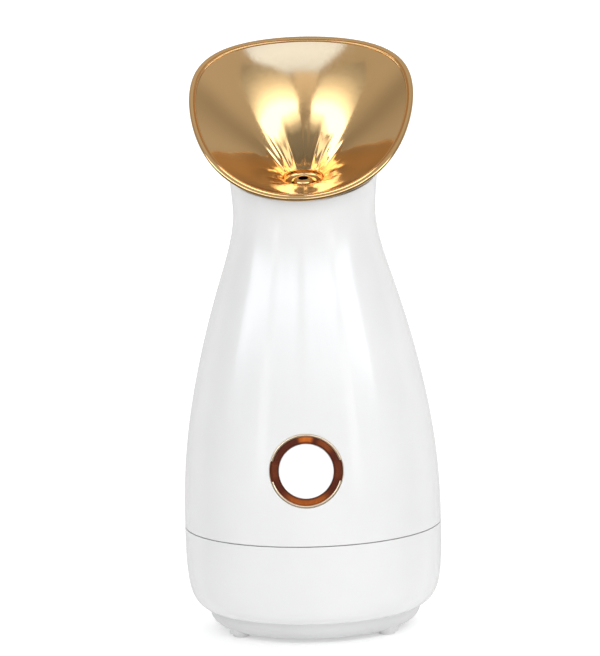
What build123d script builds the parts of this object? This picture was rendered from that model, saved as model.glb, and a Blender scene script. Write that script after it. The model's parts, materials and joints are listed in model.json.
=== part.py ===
"""Desktop facial steamer: a bell-shaped housing with a tilted steam funnel, a boiler in the base,
a pull-out water tank at the rear and one lit push button at the front.

Frame: millimetres, +Z up, front towards -Y, origin on the ground at the middle of the base.
"""
from build123d import *
import os
from math import cos, hypot, pi, sin, radians

# ---------------------------------------------------------------- driving dimensions
WALL = 2.2                      # housing wall
SEAM_Z = 42.5                   # joint between the upper and the lower housing
SEAM_GAP = 0.3
FIT = 0.05                      # running clearance of a guided piece
HOUSING_INNER_SLACK = 0.1       # liner and collar stand this far off the housing wall
FAR = 130.0                     # longer than the object is wide, for cutting tools

# Bell of the upper housing: (radius, height) from the seam up through the waist to the neck.
BELL = [(52.2, 42.5), (51.7, 62), (49.8, 81), (46.5, 100), (41.8, 120),
        (36.0, 140), (30.6, 158), (28.9, 169), (29.4, 179), (31.6, 198)]
BELL_LOW_Z = 30.0
# Belly of the lower housing: (radius, height) from the seam down to the turned-in foot.
BELLY = [(52.2, SEAM_Z - SEAM_GAP), (52.1, 32), (51.4, 22), (50.0, 15.5), (47.4, 11.2), (43.9, 8.9)]
BELLY_INNER = [(43.0, 11.1), (45.8, 13.2), (48.0, 16.8), (49.2, 22.5), (49.9, 32),
               (50.0, SEAM_Z - SEAM_GAP)]

TONGUE_R = 49.6                 # the lower housing's tongue, which the bell slips over
TONGUE_BORE_R = 47.8
TONGUE_ROOT_R = 50.6
TONGUE_LOW_Z = 37.5
TONGUE_ROOT_Z = 40.0
TONGUE_TOP_Z = 46.0
TONGUE_SLACK = 0.4
POST_R = 4.0                    # the bell's screw posts, each tied to the wall by a web
WEB_REACH = 52.0
WEB_HALF = 1.2
PILOT_R = 1.5
HOUSING_SCREW = (2.8, 2.0, 1.45, 16.0)    # head radius and height, shank radius and length
BASE_SCREW = (2.8, 1.8, 1.45, 10.5)
CLEARANCE_R = 1.65

# Base
RING_INNER_R = 32.0             # the lower housing's foot ring
RING_TOP_Z = 11.1
COVER_TOP_Z = 8.9
COVER_LOW_Z = 1.5
COVER_FLOOR_Z = 3.5
FOOT_AT = [(x, y) for x in (-29.5, 29.5) for y in (-22.0, 22.0)]
FOOT_R = 3.3
FOOT_PLUG_R = 2.9
FOOT_PLUG_TOP_Z = 3.0
FOOT_EDGE = 0.5
FOOT_POST_R = 4.6
FOOT_SOCKET_R = 3.0
FOOT_SOCKET_TOP_Z = 5.2
FOOT_BOSS_R = 3.6
FOOT_BOSS_TOP_Z = 18.0
COVER_OUTER = [(43.2, COVER_TOP_Z), (41.8, 4.6), (36.5, COVER_LOW_Z)]
COVER_INNER = [(35.8, COVER_FLOOR_Z), (39.9, 5.6), (41.3, COVER_TOP_Z)]
COVER_RING_R = 31.8
COVER_RING_BORE_R = 30.2
COVER_RING_TOP_Z = 12.5
PILLAR_AT = 14.0                # the pillars under the boiler
PILLAR_R = 2.8
VENT_PITCH = 5.0
VENT_HALF_WIDTH = 1.0
VENT_HALF_LENGTH = 6.0

# Head: the neck is cut square to an axis that leans forward, and the funnel sits on that cut.
HEAD_Z = 187.0
HEAD_LEAN = 15.0
HEAD = Pos(0, 0, HEAD_Z) * Rot(HEAD_LEAN, 0, 0)
SPIGOT_R = 24.4
SPIGOT_BORE_R = 22.0
SPIGOT_LOW = -9.8
SOCKET_R = 24.65
SOCKET_FLOOR = -10.0
COLLAR_LOW = -12.4
COLLAR_TOP = -1.2
SEAL_LOW = -6.0
SEAL_TOP = -4.4
SEAL_GROOVE_R = 25.6
KEY_WIDTH = 4.0
KEY_LOW = -2.6

# Funnel, in the head frame: each ring has its front end and rear end (v forward-back, w up),
# its half width and how far it departs from an ellipse towards an egg.
WELL_R = 8.0
WELL_EDGE_R = 8.2
WELL_TOP = -2.5
WELL_FLOOR = -8.3
WELL_OUTER_R = 9.8
CUP_RINGS = [((-WELL_EDGE_R, WELL_TOP), (WELL_EDGE_R, WELL_TOP), WELL_EDGE_R, 0.0),
             ((-20.0, 0.3), (13.5, 12.5), 19.0, 0.3),
             ((-29.0, 2.5), (23.5, 29.0), 32.3, 0.75)]
LIP_RING = ((-37.4, 3.4), (36.2, 44.3), 45.6, 1.0)
LIP_WIDTH = 2.3
LIP_THICK = 1.5
CUP_WALL = 1.4
SHROUD_WALL = 1.6
SHROUD_FOOT = ((-30.2, 0.3), (32.0, 0.3), 29.9, 0.0)
SHROUD_MIDDLE = ((-33.3, 1.1), (32.5, 20.0), 34.4, 0.5)
EGG_POINTS = 16

# Steam nozzle, on the head axis
NOZZLE_R = 4.0
NOZZLE_BORE_R = 2.0
NOZZLE_TIP = -3.2
NOZZLE_LOW = -31.0
NOZZLE_FLANGE_R = 8.0

# Button, on the front of the bell
BUTTON_Z = 73.0
BUTTON_SURFACE_Y = -50.7
BUTTON_LEAN = 5.3
BUTTON = Plane(origin=(0, BUTTON_SURFACE_Y, BUTTON_Z), x_dir=(1, 0, 0),
               z_dir=(0, -cos(radians(BUTTON_LEAN)), sin(radians(BUTTON_LEAN))))
CAP_R = 11.0
CAP_CLEARANCE = 0.2
RING_R = 13.75
TRIM_BORE_R = 13.8
TRIM_R = 14.9
BUTTON_HOLE_R = 15.05
BUTTON_BOSS_R = 17.2
EAR_R = 14.5
EAR_HALF_WIDTH = 4.2
EAR_DEPTH = -5.0
BUTTON_BOSS_DEPTH = -5.4
SHELF_DEPTH = -7.0
SHELF_R = 12.7
STEM_DEPTH = -8.9
SWITCH_TOP_DEPTH = -11.0
BOARD_FACE_DEPTH = -14.4
BOARD_THICK = 1.6
BUTTON_BOARD_SIZE = (50.0, 30.0)
BUTTON_SCREW_X = 21.0

# Boiler
BOILER_Y = -10.0
BOILER_R = 22.0
BOILER_LOW_Z = 14.0
BOILER_TOP_Z = 44.0
BOILER_FLANGE_R = 26.5
BOILER_SCREW_R = 24.6
GASKET_THICK = 1.0
LID_THICK = 3.0
INLET_Z = 22.0
BARB_R = 2.6
BARB_BORE_R = 1.6
OUTLET_R = 4.0
OUTLET_BORE_R = 2.6
OUTLET_TOP_Z = 58.0
HOSE_WALL = 1.4

# Tank bay and tank, behind the boiler tower
BAY_HALF = 29.3
BAY_FRONT_Y = 13.0
BAY_LOW_Z = 54.0
BAY_TOP_Z = 114.0
BAY_WALL = 1.4
BAY_CORNER_R = 4.0
TANK_SLACK = 0.4
TANK_FRONT_Y = 14.0
TANK_WALL = 1.8
TANK_RIM_Z = 104.0
GRIP_R = 14.0
GRIP_Z = 118.5
VALVE_Z = 63.0
NOSE_R = 7.0
NOSE_TIP_Y = 5.2
SEAT_BORE_R = 2.6
SEAT_THICK = 1.6
NOSE_BORE_R = 5.4
DOCK_BACK_Y = -4.0              # the dock in the tower's wall that the tank's nose plugs into
DOCK_SOCKET_Y = 4.6
DOCK_BARB_Y = 0.0
DOCK_BARB_X = -21.0
DOCK_R = 10.2
DOCK_FLANGE_R = 13.0
DOCK_SOCKET_R = 7.6
DOCK_CHAMBER_R = 4.6
DOCK_SEAL_R = 8.6
DOCK_SEAL_Y = (8.0, 9.6)
CAGE_Y = (14.3, 15.5)
POPPET_Y = NOSE_TIP_Y + SEAT_THICK + FIT
POPPET_THICK = 1.5
SPRING_R = 3.0
SPRING_WIRE_R = 0.35
SPRING_PITCH = 1.4

# Tank lid: a plate on a gasket, with a skirt that hangs inside the tank's mouth
LID_HALF = 28.7
LID_FRONT_Y = 15.0
LID_SLACK = 0.4
LID_LOW_Z = 104.8
LID_TOP_Z = 106.4
SKIRT_HALF = 26.6
SKIRT_FRONT_Y = 17.2
SKIRT_WALL = 1.4
SKIRT_DEPTH = 3.8

# Power board, standing on edge beside the boiler: spans in X, Y and Z
BOARD_X = (34.0, 35.6)
BOARD_Y = (-24.0, 14.0)
BOARD_Z = (12.0, 38.0)

# Fasteners
HOUSING_SCREW_ANGLES = (30, 150, 270)
HOUSING_SCREW_R = 45.0
LUG_TOP_Z = 46.1
LUG_LOW_Z = 36.0
POST_TOP_Z = 53.6

# Cord inlet at the rear of the lower housing
CORD_Z = 24.0
CORD_BORE_R = 3.3
GROMMET_R = 5.8
GROMMET_FLANGE_R = 8.0
GROMMET_FACE_Y = 52.2


# ---------------------------------------------------------------- helpers
def upright(radius, low, high, x=0.0, y=0.0):
    """A cylinder standing on the XY plane."""
    return Pos(x, y, low) * Cylinder(radius, high - low, align=(Align.CENTER, Align.CENTER, Align.MIN))


def tube(outer, inner, low, high, x=0.0, y=0.0):
    """A standing ring."""
    return upright(outer, low, high, x, y) - upright(inner, low - 1, high + 1, x, y)


def block(x, y, z):
    """A box from its three spans, each (low, high)."""
    size = (x[1] - x[0], y[1] - y[0], z[1] - z[0])
    return Pos(x[0], y[0], z[0]) * Box(*size, align=(Align.MIN, Align.MIN, Align.MIN))


def along_y(radius, low, high, x=0.0, z=0.0):
    """A cylinder lying along Y."""
    return Pos(x, low, z) * Rot(-90, 0, 0) * upright(radius, 0, high - low)


def along_x(radius, low, high, y=0.0, z=0.0):
    """A cylinder lying along X."""
    return Pos(low, y, z) * Rot(0, 90, 0) * upright(radius, 0, high - low)


def turned(outline):
    """The solid of revolution of a closed outline drawn as (radius, height)."""
    return revolve(Plane.XZ * make_face(outline), axis=Axis.Z)


def bell(inset):
    """The solid inside the upper housing's outer form, drawn in by inset."""
    points = [(radius - inset, height) for radius, height in BELL]
    side = Spline(points)
    top, low = points[-1], points[0]
    rest = Polyline(top, (0, top[1]), (0, BELL_LOW_Z), (low[0], BELL_LOW_Z), low)
    return turned(side + rest)


def rounded_prism(half, z_low, z_high, corner, y_low, y_high):
    """A rounded rectangle in XZ, run along Y."""
    face = Plane(origin=(0, y_low, (z_low + z_high) / 2), x_dir=(1, 0, 0), z_dir=(0, 1, 0))
    return extrude(face * RectangleRounded(2 * half, z_high - z_low, corner), y_high - y_low)


def screw(head_r, head_high, shank_r, length):
    """A pan-head screw pointing up, its head's seat at z = 0."""
    head = upright(head_r, -head_high, 0)
    head = fillet(head.edges().sort_by(Axis.Z)[0], head_high * 0.45)
    drive = Pos(0, 0, -head_high) * (Box(head_r, 0.5, head_high) + Box(0.5, head_r, head_high))
    return head + upright(shank_r, 0, length) - drive


def route(points, radii):
    """A path of straight runs joined by arcs."""
    return FilletPolyline(*points, radius=radii)


def pipe(points, radii, outer, inner=0.0):
    """A round hose, or a solid wire if inner is 0, along a route."""
    path = route(points, radii)
    start = Plane(origin=path @ 0, z_dir=path % 0)
    solid = sweep(start * Circle(outer), path=path)
    if inner:
        solid -= sweep(start * Circle(inner), path=path)
    return solid


def head_axis_point(height):
    """The point on the head axis at a height above the neck's cut."""
    lean = radians(HEAD_LEAN)
    return (0, -height * sin(lean), HEAD_Z + height * cos(lean))


def head_tube(outer, inner, low, high):
    """A ring about the head axis."""
    return HEAD * tube(outer, inner, low, high)


def head_disc(radius, low, high):
    """A cylinder about the head axis."""
    return HEAD * upright(radius, low, high)


def from_button(radius, low, high):
    """A cylinder about the button's axis, from depth low to height high."""
    return BUTTON.location * upright(radius, low, high)


def head_slab(low, high):
    """Everything between two heights in the head frame."""
    return HEAD * block((-FAR, FAR), (-FAR, FAR), (low, high))


# ---------------------------------------------------------------- funnel shapes
def egg(front, rear, half_width, egginess):
    """A closed flat curve in the head frame, from an ellipse to an egg that is wide at the rear."""
    points = []
    for index in range(EGG_POINTS):
        angle = 2 * pi * index / EGG_POINTS
        bulge = 0.08 - 0.057 * cos(angle) + 0.0875 * cos(2 * angle)
        across = half_width * sin(angle) * (1 + egginess * bulge)
        share = (1 - cos(angle)) / 2 + egginess * 0.0914 * sin(angle) ** 2
        points.append((across, front[0] + (rear[0] - front[0]) * share,
                       front[1] + (rear[1] - front[1]) * share))
    return make_face(Spline(points, periodic=True))


def eased(ring, grow, lower):
    """A ring made larger all round by grow and moved down along its own normal by lower."""
    front, rear, half_width, egginess = ring
    length = hypot(rear[0] - front[0], rear[1] - front[1])
    run, rise = (rear[0] - front[0]) / length, (rear[1] - front[1]) / length
    shift = (rise * lower, -run * lower)
    front = (front[0] - run * grow + shift[0], front[1] - rise * grow + shift[1])
    rear = (rear[0] + run * grow + shift[0], rear[1] + rise * grow + shift[1])
    return front, rear, half_width + grow, egginess


def loft_rings(rings):
    """The smooth solid through a stack of rings."""
    return HEAD * loft([egg(*ring) for ring in rings])


def ring_slab(ring, thick):
    """A flat plate with a ring's outline, thick below it, or above it where thick is negative."""
    front, rear = ring[0], ring[1]
    down = (0, rear[1] - front[1], front[0] - rear[0])
    return HEAD * extrude(egg(*ring), thick, dir=down)


# ---------------------------------------------------------------- housing
def upper_housing():
    shell = bell(0) - bell(WALL)
    shell -= upright(FAR, BELL_LOW_Z - 1, SEAM_Z)
    shell -= head_slab(0, FAR)
    shell -= rounded_prism(BAY_HALF, BAY_LOW_Z, BAY_TOP_Z, BAY_CORNER_R, BAY_FRONT_Y, FAR)
    boss = from_button(BUTTON_BOSS_R, BUTTON_BOSS_DEPTH, 3) & bell(WALL / 2)
    for x in (-BUTTON_SCREW_X, BUTTON_SCREW_X):
        boss += BUTTON.location * upright(3.0, BOARD_FACE_DEPTH, 0, x) & bell(WALL / 2)
    shell += boss
    for angle in HOUSING_SCREW_ANGLES:
        post = Rot(0, 0, angle) * upright(POST_R, LUG_TOP_Z + 0.1, POST_TOP_Z, HOUSING_SCREW_R)
        web = block((HOUSING_SCREW_R, WEB_REACH), (-WEB_HALF, WEB_HALF), (LUG_TOP_Z + 0.1, POST_TOP_Z))
        web = Rot(0, 0, angle) * web
        shell += (post + web) & bell(WALL / 2)
        shell -= Rot(0, 0, angle) * upright(PILOT_R, LUG_TOP_Z - 1, POST_TOP_Z - 0.8, HOUSING_SCREW_R)
    shell -= from_button(BUTTON_HOLE_R, BOARD_FACE_DEPTH - 2, 5)
    for x in (-BUTTON_SCREW_X, BUTTON_SCREW_X):
        shell -= BUTTON.location * upright(1.2, BOARD_FACE_DEPTH - 1, -8, x)
    return shell


def lower_housing():
    outer = Spline(BELLY)
    inner = Spline(BELLY_INNER)
    foot = Polyline(BELLY[-1], (RING_INNER_R, COVER_TOP_Z), (RING_INNER_R, RING_TOP_Z), BELLY_INNER[0])
    shell = turned(outer + foot + inner + Line(BELLY_INNER[-1], BELLY[0]))
    tongue = tube(TONGUE_R, TONGUE_BORE_R, TONGUE_LOW_Z, TONGUE_TOP_Z)
    tongue += tube(TONGUE_ROOT_R, TONGUE_BORE_R, TONGUE_LOW_Z, TONGUE_ROOT_Z)
    shell += tongue & bell(WALL / 2 + TONGUE_SLACK)
    for angle in HOUSING_SCREW_ANGLES:
        shell += Rot(0, 0, angle) * (upright(POST_R, LUG_LOW_Z, LUG_TOP_Z, HOUSING_SCREW_R)
                                     & upright(TONGUE_R, 0, LUG_TOP_Z))
        shell -= Rot(0, 0, angle) * upright(CLEARANCE_R, LUG_LOW_Z - 1, LUG_TOP_Z + 1, HOUSING_SCREW_R)
    for x, y in FOOT_AT:
        shell += upright(FOOT_BOSS_R, RING_TOP_Z - 0.5, FOOT_BOSS_TOP_Z, x, y)
        shell -= upright(PILOT_R, COVER_TOP_Z - 1, FOOT_BOSS_TOP_Z - 1.5, x, y)
    for y in (BOARD_Y[0] - 2.5, BOARD_Y[1] - 1.5):
        guide = block((BOARD_X[0] - 1.7, BOARD_X[1] + 1.7), (y, y + 4), (RING_TOP_Z - 0.5, 24))
        shell += guide - block(BOARD_X, (BOARD_Y[0] - 0.2, BOARD_Y[1] + 0.2), (RING_TOP_Z, 30))
    shell -= along_y(GROMMET_R + 0.1, 44, 56, 0, CORD_Z)
    shell -= along_y(GROMMET_FLANGE_R + 0.2, 50.9, 56, 0, CORD_Z)
    return shell


def base_cover():
    outer = Spline(COVER_OUTER)
    inner = Spline(COVER_INNER)
    floor = Polyline(COVER_OUTER[-1], (0, COVER_LOW_Z), (0, COVER_FLOOR_Z), COVER_INNER[0])
    cover = turned(outer + floor + inner + Line(COVER_INNER[-1], COVER_OUTER[0]))
    cover += tube(COVER_RING_R, COVER_RING_BORE_R, COVER_FLOOR_Z - 0.5, COVER_RING_TOP_Z)
    for x, y in FOOT_AT:
        cover -= upright(FOOT_POST_R, COVER_LOW_Z + 0.5, COVER_RING_TOP_Z + 0.5, x, y)
        cover += upright(FOOT_POST_R, COVER_LOW_Z, COVER_TOP_Z, x, y)
        cover -= upright(FOOT_SOCKET_R, 0, FOOT_SOCKET_TOP_Z, x, y)
        cover -= upright(CLEARANCE_R, 0, COVER_TOP_Z + 1.1, x, y)
    for x in (-PILLAR_AT, PILLAR_AT):
        for y in (-PILLAR_AT, PILLAR_AT):
            cover += upright(PILLAR_R, COVER_FLOOR_Z - 0.5, BOILER_LOW_Z, x, BOILER_Y + y)
    for index in range(-3, 4):
        middle = index * VENT_PITCH
        cover -= block((middle - VENT_HALF_WIDTH, middle + VENT_HALF_WIDTH),
                       (BOILER_Y - VENT_HALF_LENGTH, BOILER_Y + VENT_HALF_LENGTH), (0, COVER_FLOOR_Z + 0.1))
    return cover


def rubber_feet():
    feet = []
    for x, y in FOOT_AT:
        pad = upright(FOOT_R, 0, COVER_LOW_Z, x, y)
        pad = fillet(pad.edges().sort_by(Axis.Z)[0], FOOT_EDGE)
        feet.append(pad + upright(FOOT_PLUG_R, COVER_LOW_Z, FOOT_PLUG_TOP_Z, x, y))
    return Compound(children=feet)


def base_screws():
    return Compound(children=[Pos(x, y, FOOT_SOCKET_TOP_Z) * screw(*BASE_SCREW) for x, y in FOOT_AT])


def housing_screws():
    one = Pos(HOUSING_SCREW_R, 0, LUG_LOW_Z) * screw(*HOUSING_SCREW)
    return Compound(children=[Rot(0, 0, angle) * one for angle in HOUSING_SCREW_ANGLES])


def cord_grommet():
    body = along_y(GROMMET_R, 44.5, 51.5, 0, CORD_Z)
    flange = along_y(GROMMET_FLANGE_R, 50.95, GROMMET_FACE_Y, 0, CORD_Z)
    flange = fillet(flange.edges().sort_by(Axis.Y)[-1], 0.8)
    keeper = along_y(7.4, 46.0, 47.5, 0, CORD_Z)
    return body + flange + keeper - along_y(CORD_BORE_R, 40, 56, 0, CORD_Z)


def terminal_block():
    body = block((-9, 9), (18.5, 24.5), (COVER_FLOOR_Z, 11.5)) + block((-9, 9), (18.5, 21.5), (11, 14))
    for x in (-5.5, 0.0, 5.5):
        body -= upright(1.8, 8, 12, x, 23)
    return body


# ---------------------------------------------------------------- boiler
def boiler_body():
    body = upright(BOILER_R, BOILER_LOW_Z, BOILER_TOP_Z, 0, BOILER_Y)
    body = fillet(body.edges().sort_by(Axis.Z)[0], 2.0)
    body += upright(BOILER_FLANGE_R, BOILER_TOP_Z - 3, BOILER_TOP_Z, 0, BOILER_Y)
    body += along_x(BARB_R, -BOILER_R - 9, -BOILER_R + 1.5, BOILER_Y, INLET_Z)
    body -= upright(BOILER_R - 2, BOILER_LOW_Z + 3, BOILER_TOP_Z + 1, 0, BOILER_Y)
    body -= along_x(BARB_BORE_R, -BOILER_R - 10, -BOILER_R + 3, BOILER_Y, INLET_Z)
    for x, y in boiler_screw_places():
        body -= upright(1.2, BOILER_TOP_Z - 4, BOILER_TOP_Z + 1, x, y)
    return body


def boiler_screw_places():
    places = []
    for angle in (45, 135, 225, 315):
        turn = radians(angle)
        places.append((BOILER_SCREW_R * cos(turn), BOILER_Y + BOILER_SCREW_R * sin(turn)))
    return places


def boiler_gasket():
    return tube(22.9, 20.4, BOILER_TOP_Z, BOILER_TOP_Z + GASKET_THICK, 0, BOILER_Y)


def boiler_lid():
    low = BOILER_TOP_Z + GASKET_THICK
    top = low + LID_THICK
    lid = upright(BOILER_FLANGE_R, low, top, 0, BOILER_Y)
    lid = fillet(lid.edges().sort_by(Axis.Z)[-1], 1.0)
    lid += upright(OUTLET_R, top, OUTLET_TOP_Z, 0, BOILER_Y)
    lid -= upright(OUTLET_BORE_R, low - 1, OUTLET_TOP_Z + 1, 0, BOILER_Y)
    for x, y in boiler_screw_places():
        lid -= upright(1.3, low - 1, top + 1, x, y)
    return lid


def boiler_screws():
    seat = BOILER_TOP_Z + GASKET_THICK + LID_THICK
    one = Rot(180, 0, 0) * screw(1.6, 1.2, 1.15, 6.5)
    return Compound(children=[Pos(x, y, seat) * one for x, y in boiler_screw_places()])


def heater_element():
    ring = tube(15.5, 8.5, BOILER_LOW_Z - 3.2, BOILER_LOW_Z, 0, BOILER_Y)
    for x in (-3.0, 3.0):
        ring += block((x - 1.5, x + 1.5), (BOILER_Y + 15, BOILER_Y + 19.5),
                      (BOILER_LOW_Z - 2.4, BOILER_LOW_Z - 1.6))
    return ring


def thermostat():
    body = upright(6.0, BOILER_LOW_Z - 4.5, BOILER_LOW_Z, 0, BOILER_Y)
    for x in (-2.5, 2.5):
        body += block((x - 1.2, x + 1.2), (BOILER_Y - 0.4, BOILER_Y + 0.4),
                      (BOILER_LOW_Z - 8.5, BOILER_LOW_Z - 4))
    return body


def thermal_fuse():
    return Pos(0, BOILER_Y - BOILER_R - 1.8, 30) * Rot(0, 90, 0) * upright(1.7, -6, 6)


# ---------------------------------------------------------------- hoses and leads
def steam_hose():
    points = [(0, BOILER_Y, 51), (0, BOILER_Y, 96), head_axis_point(-50), head_axis_point(-17)]
    return pipe(points, (60, 40), OUTLET_R + HOSE_WALL, OUTLET_R)


def feed_hose():
    y = DOCK_BARB_Y
    points = [(-15.0, y, VALVE_Z), (-25.0, y, VALVE_Z), (-36.5, y - 4, VALVE_Z - 9),
              (-40.5, BOILER_Y + 1, 42), (-40.0, BOILER_Y, 29), (-35.5, BOILER_Y, INLET_Z),
              (-BOILER_R - 3, BOILER_Y, INLET_Z)]
    return pipe(points, (9, 14, 16, 7, 4.5), BARB_R + HOSE_WALL, BARB_R)


def leads(routes, radius):
    """A bundle of separate insulated wires."""
    return Compound(children=[pipe(points, radii, radius) for points, radii in routes])


def power_leads():
    """Two wires from the terminal block to the power board's connector."""
    ends = [(9.2, 20, 7.4), (15, 20.4, 9.2), (22, 20.2, 15.4), (29.4, 19.4, 21.4), (31, 12.6, 22.4)]
    routes = [([(x, y, z + rise) for x, y, z in ends], (7, 9, 4)) for rise in (0, 2.0)]
    return leads(routes, 0.6)


def heater_leads():
    """Two wires from the heater's tabs to the power board's connector."""
    near = [(3, 9.8, 12), (3, 15, 12), (12, 16.6, 15.5), (21.5, 11, 22.6), (27.7, 10.6, 22.6)]
    far = [(-3, 9.8, 12), (-3, 14, 12.6), (8, 16.4, 18.6), (20.5, 8, 25.6), (27.7, 7.6, 25.6)]
    return leads([(near, (3.5, 8, 7)), (far, (3, 9, 8))], 0.7)


# ---------------------------------------------------------------- electronics
def power_board():
    board = block(BOARD_X, BOARD_Y, BOARD_Z)
    for y in (-20, 10):
        board -= along_x(1.6, BOARD_X[0] - 1, BOARD_X[1] + 1, y, BOARD_Z[1] - 3)
    return board


def power_components():
    inner, outer = BOARD_X
    transformer = block((inner - 8.5, inner), (-1, 9), (28.5, 37))
    relay = block((inner - 6, inner), (-15, -4), (25, 34))
    capacitor = fillet(along_x(3.6, inner - 9, inner, -20, 29).edges().sort_by(Axis.X)[0], 0.8)
    rectifier = block((inner - 3.5, inner), (-10, -3), (14, 20))
    socket = block((28, inner), (5, 12.3), (20.5, 27))
    plug = block((outer, outer + 4.4), (-14, -2), (28, 34))
    return Compound(children=[transformer, relay, capacitor, rectifier, socket, plug])


def button_board():
    board = Box(*BUTTON_BOARD_SIZE, BOARD_THICK)
    board = BUTTON.location * Pos(0, 0, BOARD_FACE_DEPTH - BOARD_THICK / 2) * board
    for x in (-BUTTON_SCREW_X, BUTTON_SCREW_X):
        board -= BUTTON.location * upright(1.4, BOARD_FACE_DEPTH - 3, BOARD_FACE_DEPTH + 1, x)
    return board


def button_screws():
    one = screw(2.3, 1.5, 1.1, 6.5)
    back = BOARD_FACE_DEPTH - BOARD_THICK
    places = (-BUTTON_SCREW_X, BUTTON_SCREW_X)
    return Compound(children=[BUTTON.location * Pos(x, 0, back) * one for x in places])


def tact_switch():
    body = BUTTON.location * Pos(0, 0, (SWITCH_TOP_DEPTH + BOARD_FACE_DEPTH) / 2) * Box(
        6.2, 6.2, SWITCH_TOP_DEPTH - BOARD_FACE_DEPTH)
    return body - from_button(1.85, -13.4, SWITCH_TOP_DEPTH + 1)


def switch_plunger():
    return from_button(1.75, -12.2, STEM_DEPTH - FIT)


def indicator_leds():
    chips = []
    for angle in (90, 50, 250, 290):
        chip = Pos(12.4, 0, BOARD_FACE_DEPTH + 0.8) * Box(1.6, 3.0, 1.6)
        chips.append(BUTTON.location * Rot(0, 0, angle) * chip)
    return Compound(children=chips)


# ---------------------------------------------------------------- button
def ears(radius, half_width, depth, height):
    """The two side lobes of the lit ring, at three and nine o'clock."""
    bar = BUTTON.location * block((-radius, radius), (-half_width, half_width), (depth, height))
    return bar & from_button(radius, depth, height)


def button_trim_ring():
    sleeve = from_button(TRIM_R, SHELF_DEPTH, 3) & bell(-0.45)
    sleeve += from_button(16.9, SHELF_DEPTH, BUTTON_BOSS_DEPTH - 0.1)
    sleeve -= from_button(TRIM_BORE_R, SHELF_DEPTH + 0.6, 5)
    sleeve -= from_button(SHELF_R, SHELF_DEPTH - 1, 5)
    return sleeve - ears(EAR_R + 0.05, EAR_HALF_WIDTH + 0.05, EAR_DEPTH - 0.05, 5)


def indicator_ring():
    ring = from_button(RING_R, SHELF_DEPTH + 0.65, 3) + ears(EAR_R, EAR_HALF_WIDTH, EAR_DEPTH, 3)
    ring &= bell(0.05)
    return ring - from_button(CAP_R + CAP_CLEARANCE, SHELF_DEPTH - 1, 5)


def button_cap():
    cap = from_button(CAP_R, SHELF_DEPTH - 0.6, 3) & bell(-0.55)
    cap += from_button(12.2, SHELF_DEPTH - 1.1, SHELF_DEPTH - 0.1) - from_button(8, -20, 0)
    cap -= (from_button(CAP_R - 1.5, -20, 3) & bell(1.6))
    cap += from_button(2.5, STEM_DEPTH, -1)
    return cap


# ---------------------------------------------------------------- head
def neck_collar():
    plug = bell(WALL + HOUSING_INNER_SLACK) & head_slab(COLLAR_LOW, COLLAR_TOP)
    plug -= head_disc(SOCKET_R, SOCKET_FLOOR, 5)
    plug -= head_disc(SEAL_GROOVE_R, SEAL_LOW, SEAL_TOP)
    plug -= head_disc(NOZZLE_R + 0.1, COLLAR_LOW - 1, 0)
    return plug - HEAD * block((-KEY_WIDTH / 2 - 0.2, KEY_WIDTH / 2 + 0.2), (20, 25.7), (KEY_LOW, 5))


def collar_seal():
    return head_tube(SEAL_GROOVE_R, SPIGOT_R + FIT, SEAL_LOW, SEAL_TOP)


def steam_nozzle():
    body = upright(NOZZLE_R, NOZZLE_LOW, NOZZLE_TIP)
    body = fillet(body.edges().sort_by(Axis.Z)[-1], 1.4)
    body += upright(NOZZLE_FLANGE_R, COLLAR_LOW - 1.6, COLLAR_LOW)
    body -= upright(NOZZLE_BORE_R, NOZZLE_LOW - 1, 1)
    return HEAD * body


def cup_form():
    """The outside of the funnel's inner cup, filled."""
    low, radius = WELL_TOP - CUP_WALL, WELL_OUTER_R - 0.3
    under = [((-radius, low), (radius, low), radius, 0.0)]
    under += [eased(ring, 1.1, CUP_WALL) for ring in CUP_RINGS[1:]]
    under.append(eased(LIP_RING, 1.0 - LIP_WIDTH, LIP_THICK))
    return loft_rings(under) + head_disc(WELL_OUTER_R, SPIGOT_LOW, WELL_TOP - 0.5)


def cup_void():
    """The space inside the funnel, run on a little above its rim."""
    mouth = eased(LIP_RING, -LIP_WIDTH, 0)
    return loft_rings(CUP_RINGS + [mouth]) + ring_slab(mouth, -2)


def funnel_cup():
    cup = cup_form() + ring_slab(LIP_RING, LIP_THICK)
    cup -= cup_void()
    cup -= head_disc(WELL_R, WELL_FLOOR, WELL_TOP + 1)
    return cup - head_disc(NOZZLE_R + 0.7, SPIGOT_LOW - 1, 0)


def funnel_shroud():
    under_lip = eased(LIP_RING, -0.4, LIP_THICK)
    outer_rings = [SHROUD_FOOT, SHROUD_MIDDLE, under_lip]
    inner_rings = [eased(SHROUD_FOOT, -SHROUD_WALL, -SHROUD_WALL), eased(SHROUD_MIDDLE, -SHROUD_WALL, 0),
                   eased(under_lip, -SHROUD_WALL, -0.02)]
    shell = loft_rings(outer_rings) - loft_rings(inner_rings)
    shell -= head_disc(SPIGOT_BORE_R, -1, 3)
    foot = SHROUD_FOOT[0][1]
    spigot = head_tube(SPIGOT_R, SPIGOT_BORE_R, SPIGOT_LOW, foot + 0.5)
    plate = head_tube(SPIGOT_R, WELL_OUTER_R, SPIGOT_LOW, SPIGOT_LOW + 1.5)
    key = HEAD * block((-KEY_WIDTH / 2, KEY_WIDTH / 2), (23.5, 25.4), (KEY_LOW + 0.2, foot + 0.5))
    return shell + spigot + plate + key - cup_form() - ring_slab(LIP_RING, LIP_THICK)


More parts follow.
